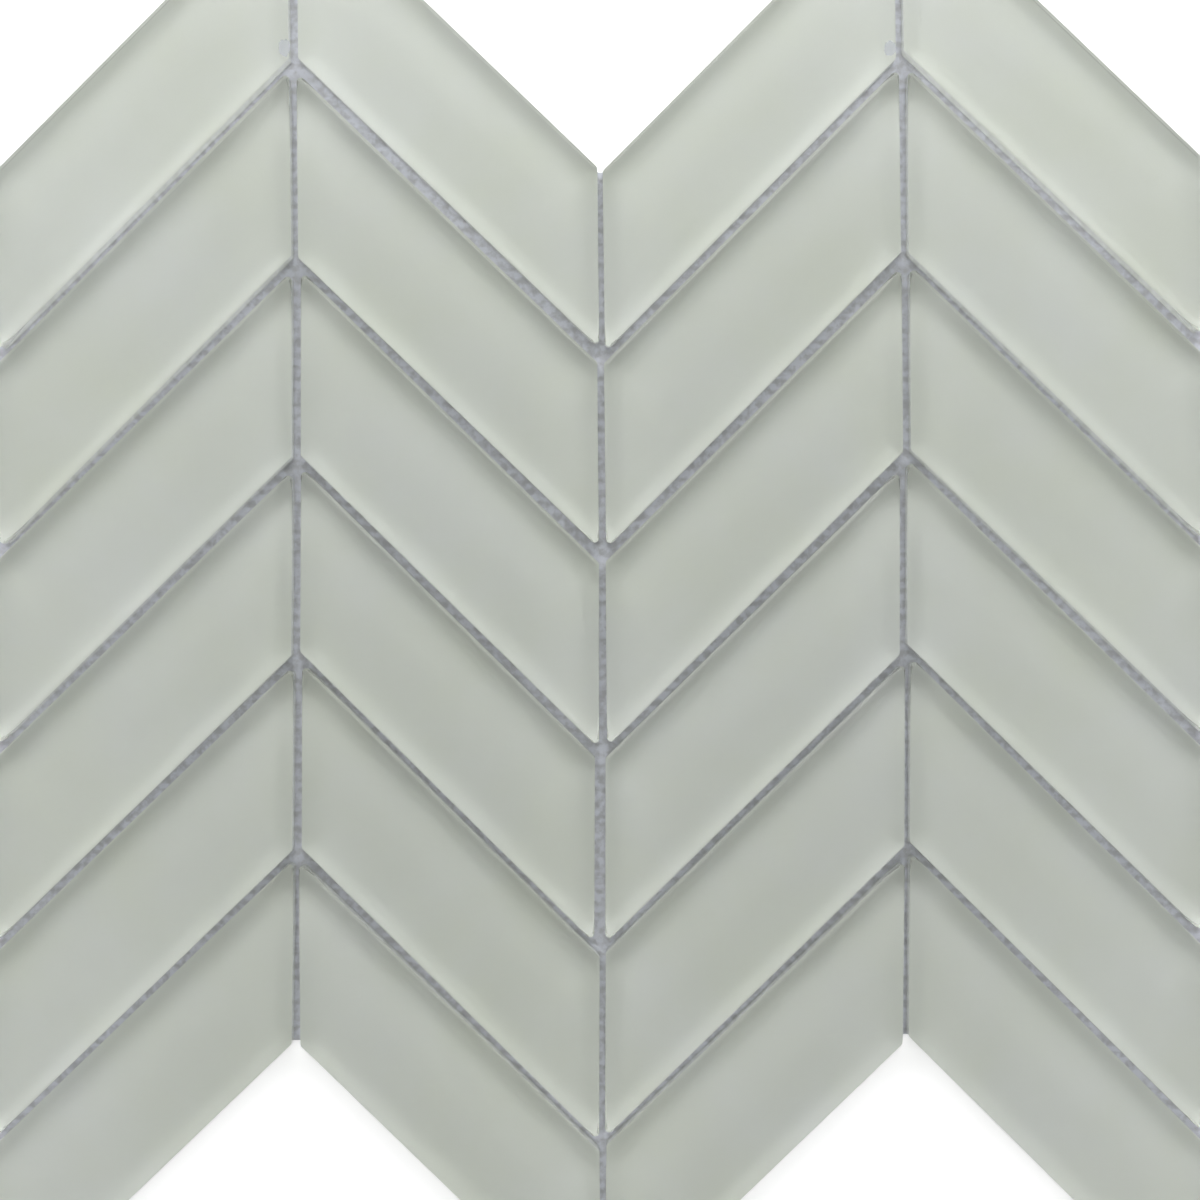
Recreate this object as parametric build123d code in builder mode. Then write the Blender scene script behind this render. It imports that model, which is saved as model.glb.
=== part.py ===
from build123d import *
from math import cos, degrees, radians, tan
import os

# Chevron glass mosaic sheet: glass pieces bonded side by side on one flexible mesh backing.
# The sheet lies flat with its glass face up. X runs across the columns, Y runs up the columns,
# and the origin is under the middle of the sheet, at the underside of the mesh.

# Pattern
columns = 4
rows = 6
slant = 44.5

# One glass piece, a parallelogram with two upright ends and two slanting long sides
piece_run = 57.15
strip_width = 25.4
glass_thickness = 8.0
corner_radius = 0.8
front_arris = 0.7

# Laying
end_joint = 1.4
side_joint = 1.6
outer_trim = 0.6
mesh_thickness = 0.5
mesh_margin = 0.3
mesh_side_reach = 0.3

# How each piece was laid by hand, as shares of the joint at its ends. One line is one row of pieces.
pushed_up = [
    [-0.55, 0.00, -0.05, 1.10],
    [-0.45, -0.30, 0.00, 0.30],
    [-0.70, -0.55, -0.20, 0.35],
    [-0.75, -0.45, -0.20, 0.75],
    [-0.40, -0.25, 0.15, 0.55],
    [0.25, -0.05, 0.65, 0.95],
]
slid_right = [
    [-0.35, -0.10, -0.40, -0.80],
    [0.00, -0.10, -0.20, -0.20],
    [-0.05, 0.20, 0.05, 0.15],
    [-0.15, 0.10, 0.10, -0.40],
    [-0.05, 0.30, 0.15, -0.10],
    [-0.15, 0.20, 0.30, -0.25],
]
right_end_raised = [
    [0.50, 0.40, 0.50, 0.55],
    [0.50, 0.35, 0.45, 0.25],
    [0.00, 0.00, 0.30, 0.30],
    [-0.25, -0.15, -0.05, 0.05],
    [-0.35, -0.10, -0.15, -0.15],
    [-0.50, 0.35, -0.45, -0.20],
]

# Pieces that were cut a little short at their right end, by column and row counted from 1
cut_short = {(2, 4): 0.6, (3, 1): 0.7, (3, 4): 0.8, (3, 6): 0.6}

# Sizes that follow from those above
steepness = tan(radians(slant))
column_pitch = piece_run + end_joint
row_pitch = (strip_width + side_joint) / cos(radians(slant))
sheet_width = columns * column_pitch - end_joint - 2 * outer_trim


def hand_laid(shares, column, row):
    """The entry of one laying table for a piece, in millimetres."""
    line = shares[row % len(shares)]
    return line[column % len(line)] * end_joint


def piece_place(column, row):
    """The middle of a piece on the sheet, and how far it is turned, in degrees."""
    x = (column - (columns - 1) / 2) * column_pitch + hand_laid(slid_right, column, row)
    y = ((rows - 1) / 2 - row) * row_pitch + hand_laid(pushed_up, column, row)
    raised = hand_laid(right_end_raised, column, row)
    return x, y, degrees(raised / (piece_run / 2) * cos(radians(slant)) ** 2)


def half_width(row, side):
    """From a piece's middle line square to its upper (1) or lower (-1) long side."""
    trim = outer_trim if (row, side) == (0, 1) else 0
    return strip_width / 2 - trim


def piece_corners(column, row):
    """The four corners of a piece about its middle, anticlockwise from the lower left."""
    left = -piece_run / 2
    right = piece_run / 2 - cut_short.get((column + 1, row + 1), 0)
    if column == 0:
        left += outer_trim
    if column == columns - 1:
        right -= outer_trim
    lean = steepness if column % 2 == 0 else -steepness
    lower = -half_width(row, -1) / cos(radians(slant))
    upper = half_width(row, 1) / cos(radians(slant))
    return [
        (left, lean * left + lower),
        (right, lean * right + lower),
        (right, lean * right + upper),
        (left, lean * left + upper),
    ]


def long_side_height(column, row, side, x):
    """How high the line of a piece's upper (1) or lower (-1) long side stands at x."""
    middle_x, middle_y, turn = piece_place(column, row)
    angle = radians(turn + (slant if column % 2 == 0 else -slant))
    return middle_y + side * half_width(row, side) / cos(angle) + tan(angle) * (x - middle_x)


def mesh_edge(row, side):
    """The mesh's zigzag end just inside the glass of the outer row, with a turn at each joint."""
    points = []
    for corner in range(columns + 1):
        x = (corner - columns / 2) * column_pitch
        beside = [column for column in (corner - 1, corner) if 0 <= column < columns]
        reach = min(side * long_side_height(column, row, side, x) for column in beside)
        points.append((x, side * (reach - mesh_margin / cos(radians(slant)))))
    return points


os.makedirs("parts", exist_ok=True)

# Mesh backing: one flat piece, whose zigzag ends are cut just inside the glass
outline = mesh_edge(0, 1) + list(reversed(mesh_edge(rows - 1, -1)))
mesh_width = sheet_width + 2 * mesh_side_reach
mesh_height = 2 * rows * row_pitch
with BuildPart() as mesh_backing:
    with BuildSketch(Plane.XY):
        with BuildLine():
            Polyline(*outline, close=True)
        make_face()
        Rectangle(mesh_width, mesh_height, mode=Mode.INTERSECT)
    extrude(amount=mesh_thickness)

mesh_backing.part.label = "mesh_backing"
export_step(mesh_backing.part, "parts/mesh_backing.step")

# Glass pieces: every piece has blunted upright corners and a rounded arris round its front face
for column in range(columns):
    for row in range(rows):
        x, y, turn = piece_place(column, row)
        bed = Plane(origin=(x, y, mesh_thickness)).rotated((0, 0, turn))
        with BuildPart() as glass_piece:
            with BuildSketch(bed):
                with BuildLine():
                    Polyline(*piece_corners(column, row), close=True)
                make_face()
                fillet(vertices(), radius=corner_radius)
            extrude(amount=glass_thickness)
            fillet(faces().sort_by(Axis.Z)[-1].edges(), radius=front_arris)

        name = f"glass_column_{column + 1}_row_{row + 1}"
        glass_piece.part.label = name
        export_step(glass_piece.part, f"parts/{name}.step")
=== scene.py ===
"""Looks of the chevron glass mosaic sheet, seen from straight above on a white floor. Metres."""

import math
import random

import bmesh
import bpy
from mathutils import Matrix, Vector


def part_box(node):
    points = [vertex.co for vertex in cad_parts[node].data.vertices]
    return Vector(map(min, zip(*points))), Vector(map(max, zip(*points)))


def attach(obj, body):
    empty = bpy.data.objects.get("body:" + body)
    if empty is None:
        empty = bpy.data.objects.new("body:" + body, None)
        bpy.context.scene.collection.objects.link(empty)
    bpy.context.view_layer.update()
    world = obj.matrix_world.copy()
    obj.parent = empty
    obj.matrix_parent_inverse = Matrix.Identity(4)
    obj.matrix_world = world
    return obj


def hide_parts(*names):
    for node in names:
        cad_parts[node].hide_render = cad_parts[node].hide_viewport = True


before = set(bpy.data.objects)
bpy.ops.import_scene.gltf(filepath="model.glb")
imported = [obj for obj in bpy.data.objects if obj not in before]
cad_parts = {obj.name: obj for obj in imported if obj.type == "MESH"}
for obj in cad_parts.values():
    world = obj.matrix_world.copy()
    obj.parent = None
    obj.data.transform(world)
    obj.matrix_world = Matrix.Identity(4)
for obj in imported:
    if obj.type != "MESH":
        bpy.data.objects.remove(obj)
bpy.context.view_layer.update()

MM = 0.001

# Frame of the photograph
PHOTO_SIZE = 1200
MM_PER_PIXEL = 0.1932
SHEET_CENTRE_PIXEL = (601.2, 604.1)
CAMERA_HEIGHT = 0.96
SENSOR_WIDTH = 36

# Read from the CAD nodes
GLASS_NODES = [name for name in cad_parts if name.startswith("glass_column_")]
MESH_LOW, MESH_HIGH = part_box("mesh_backing")
GLASS_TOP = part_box(GLASS_NODES[0])[1].z

# The back coat, which wraps the last bit of each glass piece
COAT_DEPTH = 0.10 * MM
COAT_LIP = 0.03 * MM
BACK_FACE_NORMAL = -0.99
BACK_FACE_REACH = 0.01 * MM
MERGE_REACH = 0.001 * MM
FLAT_ANGLE = 0.01

# The mesh's threads, with their uneven sides as shares of the pitch and the width
THREAD_PITCH = 2.41 * MM
THREAD_WIDTH = 1.30 * MM
THREAD_THICK = 0.20 * MM
THREAD_STEP = 4.82 * MM
THREAD_WANDER = 0.06
THREAD_HALF_WIDTH = (0.42, 0.58)
UPPER_LAYER_LIFT = THREAD_THICK * 0.8
THREAD_SEED = 3
SCAN_STEPS = 4000

# The glue that fills the mesh under each joint, in strips of slightly different heights
GLUE_LOW = 0.10 * MM
GLUE_THICK = 0.29 * MM
GLUE_WIDTH = 4.6 * MM
GLUE_HALF_WIDTH = (0.42, 0.56)
GLUE_STEP = 3.0 * MM
GLUE_SHORT = 3.0 * MM
GLUE_PAST = 1.0 * MM
GLUE_SIDE_INSET = 0.4 * GLUE_WIDTH
SLANTING_STRIP_INSET = 2.2 * MM
RISING_STRIP_LIFT = 0.02 * MM
FALLING_STRIP_LIFT = 0.04 * MM
GLUE_SEED = 8

# Faint bands in the glue, one for each thread under it: the wave texture has 20 / (2 pi) a unit
WEAVE_SCALE = 2 * math.pi / (20 * THREAD_PITCH)
WEAVE_SHARE = 0.12

# Smears of glue left on the glass: x, y, width and length
SMEARS = (
    (-60.7 * MM, 106.5 * MM, 2.2 * MM, 3.3 * MM),
    (55.4 * MM, 106.4 * MM, 2.4 * MM, 2.9 * MM),
)
SMEAR_THICK = 0.06 * MM
SMEAR_GAP = 0.002 * MM
SMEAR_RIM_POINTS = 24
SMEAR_UNEVEN = (0.88, 1.12)
SMEAR_DOME = ((1.0, 0.0), (0.7, 0.8), (0.3, 1.0))
SMEAR_SEED = 5

# Floor and light
FLOOR_REACH = 3.0
FLOOR_LEVEL = -0.0002
FLOOR_GLOW = 0.5
WORLD_LIGHT = 0.55
WORLD_SEEN = 1.0
SOFTBOX_SIZE = (0.9, 0.50)
SOFTBOX_PLACE = (0, 0.44, 0.52)
SOFTBOX_POWER = 4.3


def node_tree(name):
    """A new material with its emptied node tree and the tree's output node."""
    material = bpy.data.materials.new(name)
    material.use_nodes = True
    tree = material.node_tree
    tree.nodes.clear()
    output = tree.nodes.new("ShaderNodeOutputMaterial")
    return material, tree, output


def add_node(tree, kind, **values):
    """A new node whose inputs are set to plain values, with _ for a space in an input's name."""
    node = tree.nodes.new(kind)
    for key, value in values.items():
        node.inputs[key.replace("_", " ")].default_value = value
    return node


def principled(name, **values):
    """A new material of one principled shader, with its node tree and that shader."""
    material, tree, output = node_tree(name)
    shader = add_node(tree, "ShaderNodeBsdfPrincipled", **values)
    tree.links.new(shader.outputs[0], output.inputs["Surface"])
    return material, tree, shader


def fixed_texture(tree, kind, **values):
    """A texture node fixed to the object, with its scale in spots a metre."""
    place = tree.nodes.new("ShaderNodeTexCoord")
    texture = add_node(tree, kind, **values)
    tree.links.new(place.outputs["Object"], texture.inputs["Vector"])
    return texture


def noise_at(tree, scale, detail):
    """A noise texture fixed to the object."""
    return fixed_texture(tree, "ShaderNodeTexNoise", Scale=scale, Detail=detail, Roughness=0.6)


def colour_by(tree, pattern, shader, low, high, dark, light):
    """Colours the shader from dark to light between two levels of the pattern."""
    ramp = tree.nodes.new("ShaderNodeValToRGB")
    ramp.color_ramp.elements[0].position = low
    ramp.color_ramp.elements[0].color = (*dark, 1)
    ramp.color_ramp.elements[1].position = high
    ramp.color_ramp.elements[1].color = (*light, 1)
    tree.links.new(pattern.outputs[0], ramp.inputs[0])
    tree.links.new(ramp.outputs[0], shader.inputs["Base Color"])


def relief(tree, pattern, shader, depth):
    """A shallow relief from the pattern, depth in metres."""
    bump = add_node(tree, "ShaderNodeBump", Strength=1.0, Distance=depth)
    tree.links.new(pattern.outputs[0], bump.inputs["Height"])
    tree.links.new(bump.outputs[0], shader.inputs["Normal"])


def glass_material():
    """Clear glass with a soft satin face."""
    clear = (0.985, 0.99, 0.98, 1)
    return principled(
        "satin_glass", Roughness=0.18, IOR=1.5, Base_Color=clear, Transmission_Weight=1.0
    )[0]


def coat_material():
    """Pale sage paint, a little yellower in some places and bluer in others."""
    material, tree, shader = principled("back_coat", Roughness=0.6)
    noise = noise_at(tree, scale=26, detail=3)
    yellower, bluer = (0.657, 0.688, 0.616), (0.685, 0.71, 0.683)
    colour_by(tree, noise, shader, low=0.3, high=0.7, dark=yellower, light=bluer)
    return material


def thread_material():
    """Lilac-white glass fibre."""
    material, tree, shader = principled("glass_fibre_thread", Roughness=0.5)
    noise = noise_at(tree, scale=500, detail=2)
    dark, light = (0.62, 0.63, 0.68), (0.72, 0.73, 0.785)
    colour_by(tree, noise, shader, low=0.3, high=0.7, dark=dark, light=light)
    relief(tree, noise, shader, depth=0.00005)
    return material


def glue_and_hole_shade_material():
    """Speckled lilac-grey glue with faint bands of the threads under it; its darker specks are
    painted shade of the mesh's open holes, on real glue.
    """
    material, tree, shader = principled("glue_film_and_painted_hole_shade", Roughness=0.45)
    noise = noise_at(tree, scale=700, detail=3)
    weave = fixed_texture(
        tree, "ShaderNodeTexWave", Scale=WEAVE_SCALE, Distortion=3.0, Detail_Scale=3.0
    )
    weave.bands_direction = "Y"
    mixed = tree.nodes.new("ShaderNodeMix")
    mixed.inputs[0].default_value = WEAVE_SHARE
    tree.links.new(noise.outputs[0], mixed.inputs[2])
    tree.links.new(weave.outputs[1], mixed.inputs[3])
    # The dark end of the speckle is painted shade, standing for the shaded holes between the
    # threads.
    dark, light = (0.44, 0.445, 0.475), (0.62, 0.635, 0.705)
    colour_by(tree, mixed, shader, low=0.36, high=0.60, dark=dark, light=light)
    relief(tree, mixed, shader, depth=0.0001)
    return material


def smear_material():
    """Thin dried glue that the glass shows through."""
    material, tree, shader = principled("glue_smear", Roughness=0.55, Alpha=0.26)
    noise = noise_at(tree, scale=900, detail=2)
    dark, light = (0.34, 0.36, 0.43), (0.46, 0.48, 0.57)
    colour_by(tree, noise, shader, low=0.3, high=0.7, dark=dark, light=light)
    return material


def new_piece(name, mesh, material):
    """Links a mesh as a piece that rides on the sheet."""
    piece = bpy.data.objects.new(name, mesh)
    bpy.context.scene.collection.objects.link(piece)
    piece.data.materials.append(material)
    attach(piece, "root")
    return piece


def finished(work, name):
    """The mesh of a bmesh, with its faces turned outwards."""
    bmesh.ops.recalc_face_normals(work, faces=work.faces)
    mesh = bpy.data.meshes.new(name)
    work.to_mesh(mesh)
    work.free()
    return mesh


def skin(work, rings):
    """Joins rings of points into one closed form."""
    count = len(rings[0])
    for first, second in zip(rings, rings[1:]):
        for point in range(count):
            after = (point + 1) % count
            work.faces.new((first[point], first[after], second[after], second[point]))
    work.faces.new(rings[0][::-1])
    work.faces.new(rings[-1])


def back_coat(node_name):
    """A closed skin on the back face of one glass piece, drawn from the node's own back face."""
    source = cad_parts[node_name].data
    low = min(vertex.co.z for vertex in source.vertices)
    work = bmesh.new()
    work.from_mesh(source)
    for face in list(work.faces):
        height = face.calc_center_median().z - low
        if face.normal.z > BACK_FACE_NORMAL or height > BACK_FACE_REACH:
            work.faces.remove(face)
    for vertex in list(work.verts):
        if not vertex.link_faces:
            work.verts.remove(vertex)
    bmesh.ops.remove_doubles(work, verts=work.verts, dist=MERGE_REACH)
    bmesh.ops.dissolve_limit(work, angle_limit=FLAT_ANGLE, verts=work.verts, edges=work.edges)
    for vertex in work.verts:
        vertex.co.z = low - COAT_LIP
    top = bmesh.ops.extrude_face_region(work, geom=list(work.faces))["geom"]
    for item in top:
        if isinstance(item, bmesh.types.BMVert):
            item.co.z = low + COAT_DEPTH
    return finished(work, node_name.replace("glass", "coat"))


def outline_heights():
    """The mesh backing's outline: for each corner's x, its lowest and highest y."""
    heights = {}
    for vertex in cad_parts["mesh_backing"].data.vertices:
        x = round(vertex.co.x, 5)
        low, high = heights.get(x, (vertex.co.y, vertex.co.y))
        heights[x] = (min(low, vertex.co.y), max(high, vertex.co.y))
    return sorted(heights.items())


# The outline's corners, and how steeply its upper end falls from the second to the third
OUTLINE = outline_heights()
SLOPE = (OUTLINE[1][1][1] - OUTLINE[2][1][1]) / (OUTLINE[2][0] - OUTLINE[1][0])
COLUMNS = len(OUTLINE) - 1
ROWS = len(GLASS_NODES) // COLUMNS


def span_at(x):
    """The outline's lowest and highest y at x."""
    for (x0, (low0, high0)), (x1, (low1, high1)) in zip(OUTLINE, OUTLINE[1:]):
        if x0 <= x <= x1:
            share = (x - x0) / (x1 - x0)
            return low0 + share * (low1 - low0), high0 + share * (high1 - high0)
    return None


def stretches_at(y):
    """The stretches of x where the outline holds y, without those too short for a thread."""
    found = []
    inside = None
    left, right = OUTLINE[0][0], OUTLINE[-1][0]
    for step in range(SCAN_STEPS + 1):
        x = left + (right - left) * step / SCAN_STEPS
        low, high = span_at(min(max(x, left), right))
        if low <= y <= high:
            inside = (x if inside is None else inside[0], x)
        elif inside:
            found.append(inside)
            inside = None
    if inside:
        found.append(inside)
    return [stretch for stretch in found if stretch[1] - stretch[0] > THREAD_STEP]


def lines_between(low, high):
    """The places of the threads from low to high, which are whole pitches from the origin."""
    first = math.ceil(low / THREAD_PITCH)
    last = math.floor(high / THREAD_PITCH)
    return [index * THREAD_PITCH for index in range(first, last + 1)]


def add_thread(work, start, end, across, middle_z, chance):
    """A flat thread from start to end with gently wandering sides."""
    along = Vector(end) - Vector(start)
    count = max(2, round(along.length / THREAD_STEP))
    up = Vector((0, 0, THREAD_THICK / 2))
    rings = []
    for step in range(count + 1):
        centre = Vector(start) + along * (step / count)
        centre += across * chance.uniform(-THREAD_WANDER, THREAD_WANDER) * THREAD_PITCH
        half = across * THREAD_WIDTH * chance.uniform(*THREAD_HALF_WIDTH)
        middle = Vector((centre.x, centre.y, middle_z))
        rings.append([work.verts.new(middle + corner) for corner in (-half, up, half, -up)])
    skin(work, rings)


def scrim_mesh():
    """Threads both ways, laid in two layers."""
    chance = random.Random(THREAD_SEED)
    work = bmesh.new()
    low_layer = MESH_LOW.z + THREAD_THICK / 2
    high_layer = low_layer + UPPER_LAYER_LIFT
    across_x = Vector((1, 0, 0))
    across_y = Vector((0, 1, 0))
    for x in lines_between(OUTLINE[0][0], OUTLINE[-1][0]):
        low, high = span_at(x)
        add_thread(work, (x, low, 0), (x, high, 0), across_x, low_layer, chance)
    for y in lines_between(MESH_LOW.y, MESH_HIGH.y):
        for x0, x1 in stretches_at(y):
            add_thread(work, (x0, y, 0), (x1, y, 0), across_y, high_layer, chance)
    return finished(work, "scrim")


def add_glue(work, start, end, low, chance):
    """A closed flat strip of glue from start to end with uneven sides."""
    along = Vector(end) - Vector(start)
    across = Vector((-along.y, along.x, 0)).normalized()
    count = max(2, round(along.length / GLUE_STEP))
    high = low + GLUE_THICK
    rings = []
    for step in range(count + 1):
        centre = Vector(start) + along * (step / count)
        left = centre + across * GLUE_WIDTH * chance.uniform(*GLUE_HALF_WIDTH)
        right = centre - across * GLUE_WIDTH * chance.uniform(*GLUE_HALF_WIDTH)
        corners = ((left, low), (left, high), (right, high), (right, low))
        rings.append([work.verts.new((point.x, point.y, z)) for point, z in corners])
    skin(work, rings)


def piece_middle(column, row):
    """The middle y of the glass piece in a column and row counted from 1."""
    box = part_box(f"glass_column_{column}_row_{row}")
    return (box[0].y + box[1].y) / 2


def add_upright_glue(work, low, chance):
    """Glue under the upright joints and just inside the sheet's two sides."""
    for index, (x, (bottom, top)) in enumerate(OUTLINE):
        inward = {0: GLUE_SIDE_INSET, COLUMNS: -GLUE_SIDE_INSET}.get(index, 0)
        notch_above = index % 2 == 0
        bottom += GLUE_SHORT if notch_above else -GLUE_PAST
        top += GLUE_PAST if notch_above and not inward else -GLUE_SHORT
        add_glue(work, (x + inward, bottom, 0), (x + inward, top, 0), low, chance)


def add_slanting_glue(work, low, chance):
    """Glue under the slanting joints, half way between the pieces above and below them."""
    for column in range(1, COLUMNS + 1):
        x0, x1 = OUTLINE[column - 1][0], OUTLINE[column][0]
        centre_x = (x0 + x1) / 2
        left = x0 + (SLANTING_STRIP_INSET if column == 1 else 0)
        right = x1 - (SLANTING_STRIP_INSET if column == COLUMNS else 0)
        falls = column % 2 == 0
        slope = -SLOPE if falls else SLOPE
        lift = FALLING_STRIP_LIFT if falls else RISING_STRIP_LIFT
        for row in range(1, ROWS):
            middle = (piece_middle(column, row) + piece_middle(column, row + 1)) / 2
            start = (left, middle + slope * (left - centre_x), 0)
            end = (right, middle + slope * (right - centre_x), 0)
            add_glue(work, start, end, low + lift, chance)


def glue_mesh():
    """All the strips of glue."""
    chance = random.Random(GLUE_SEED)
    work = bmesh.new()
    low = MESH_LOW.z + GLUE_LOW
    add_upright_glue(work, low, chance)
    add_slanting_glue(work, low, chance)
    return finished(work, "glue")


def smear_mesh(place, chance):
    """One thin domed smear with an uneven rim, on the face of the glass."""
    x, y, width, length = place
    base = GLASS_TOP + SMEAR_GAP
    work = bmesh.new()
    rings = [[] for _ in SMEAR_DOME]
    for point in range(SMEAR_RIM_POINTS):
        angle = 2 * math.pi * point / SMEAR_RIM_POINTS
        uneven = chance.uniform(*SMEAR_UNEVEN)
        for ring, (reach, height) in zip(rings, SMEAR_DOME):
            out_x = math.cos(angle) * width / 2 * uneven * reach
            out_y = math.sin(angle) * length / 2 * uneven * reach
            ring.append(work.verts.new((x + out_x, y + out_y, base + SMEAR_THICK * height)))
    skin(work, rings)
    return finished(work, "smear")


def math_node(tree, operation, first, second):
    """The result of a math node on an output and either another output or a number."""
    node = tree.nodes.new("ShaderNodeMath")
    node.operation = operation
    tree.links.new(first, node.inputs[0])
    if isinstance(second, bpy.types.NodeSocket):
        tree.links.new(second, node.inputs[1])
    else:
        node.inputs[1].default_value = second
    return node.outputs[0]


def floor_material():
    """Pale matte floor that also looks white to the camera, in gloss and through the glass."""
    material, tree, output = node_tree("floor")
    matte = add_node(tree, "ShaderNodeBsdfDiffuse", Color=(0.85, 0.85, 0.85, 1))
    glow = add_node(tree, "ShaderNodeEmission", Color=(1, 1, 1, 1))
    rays = tree.nodes.new("ShaderNodeLightPath").outputs
    seen = math_node(tree, "MAXIMUM", rays["Is Camera Ray"], rays["Is Glossy Ray"])
    seen = math_node(tree, "MAXIMUM", seen, rays["Is Transmission Ray"])
    tree.links.new(math_node(tree, "MULTIPLY", seen, FLOOR_GLOW), glow.inputs["Strength"])
    both = tree.nodes.new("ShaderNodeAddShader")
    tree.links.new(matte.outputs[0], both.inputs[0])
    tree.links.new(glow.outputs[0], both.inputs[1])
    tree.links.new(both.outputs[0], output.inputs["Surface"])
    return material


def add_floor():
    """The floor that the sheet lies on, a hair under it."""
    reach = FLOOR_REACH
    corners = [(-reach, -reach, 0), (reach, -reach, 0), (reach, reach, 0), (-reach, reach, 0)]
    mesh = bpy.data.meshes.new("floor")
    mesh.from_pydata(corners, [], [(0, 1, 2, 3)])
    mesh.materials.append(floor_material())
    floor = bpy.data.objects.new("floor", mesh)
    floor.location.z = FLOOR_LEVEL
    bpy.context.scene.collection.objects.link(floor)


def add_world():
    """Even light from all around, which the camera sees as white."""
    world = bpy.data.worlds.new("studio")
    bpy.context.scene.world = world
    world.use_nodes = True
    world.cycles.sampling_method = "NONE"
    tree = world.node_tree
    background = tree.nodes["Background"]
    background.inputs["Color"].default_value = (1, 1, 1, 1)
    path = tree.nodes.new("ShaderNodeLightPath")
    level = add_node(tree, "ShaderNodeMapRange", To_Min=WORLD_LIGHT, To_Max=WORLD_SEEN)
    tree.links.new(path.outputs["Is Camera Ray"], level.inputs["Value"])
    tree.links.new(level.outputs[0], background.inputs["Strength"])


def add_softbox():
    """A large soft light from the top of the picture, aimed at the sheet's middle."""
    lamp = bpy.data.lights.new("softbox", "AREA")
    lamp.shape = "RECTANGLE"
    lamp.size, lamp.size_y = SOFTBOX_SIZE
    lamp.energy = SOFTBOX_POWER
    softbox = bpy.data.objects.new("softbox", lamp)
    softbox.location = SOFTBOX_PLACE
    aim = Vector((0, 0, 0)) - softbox.location
    softbox.rotation_euler = aim.to_track_quat("-Z", "Y").to_euler()
    softbox.visible_camera = False
    bpy.context.scene.collection.objects.link(softbox)


def add_camera():
    """The camera straight above, framed as the photograph."""
    centre_x, centre_y = SHEET_CENTRE_PIXEL
    x = (PHOTO_SIZE / 2 - centre_x) * MM_PER_PIXEL * MM
    y = (centre_y - PHOTO_SIZE / 2) * MM_PER_PIXEL * MM
    optics = bpy.data.cameras.new("camera")
    optics.sensor_width = SENSOR_WIDTH
    optics.lens = SENSOR_WIDTH * CAMERA_HEIGHT / (PHOTO_SIZE * MM_PER_PIXEL * MM)
    camera = bpy.data.objects.new("camera", optics)
    camera.location = (x, y, CAMERA_HEIGHT)
    bpy.context.scene.collection.objects.link(camera)
    bpy.context.scene.camera = camera


glass = glass_material()
coat = coat_material()
for name in GLASS_NODES:
    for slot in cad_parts[name].material_slots:
        slot.material = glass
    new_piece(name.replace("glass", "back_coat"), back_coat(name), coat)

threads = new_piece("scrim_threads", scrim_mesh(), thread_material())
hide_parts("mesh_backing")

# Glue under the joints, its dark specks painted shade of the mesh's holes.
new_piece("joint_glue_with_painted_shade", glue_mesh(), glue_and_hole_shade_material())

smear_glue = smear_material()
smear_chance = random.Random(SMEAR_SEED)
for number, place in enumerate(SMEARS, 1):
    smear = smear_mesh(place, smear_chance)
    new_piece(f"glue_smear_{number}", smear, smear_glue)

add_floor()
add_world()
add_softbox()
add_camera()

# Tone and light tracing
scene = bpy.context.scene
scene.view_settings.view_transform = "Standard"
scene.cycles.blur_glossy = 0.0
scene.cycles.use_light_tree = False
scene.cycles.max_bounces = 8
scene.cycles.diffuse_bounces = 3
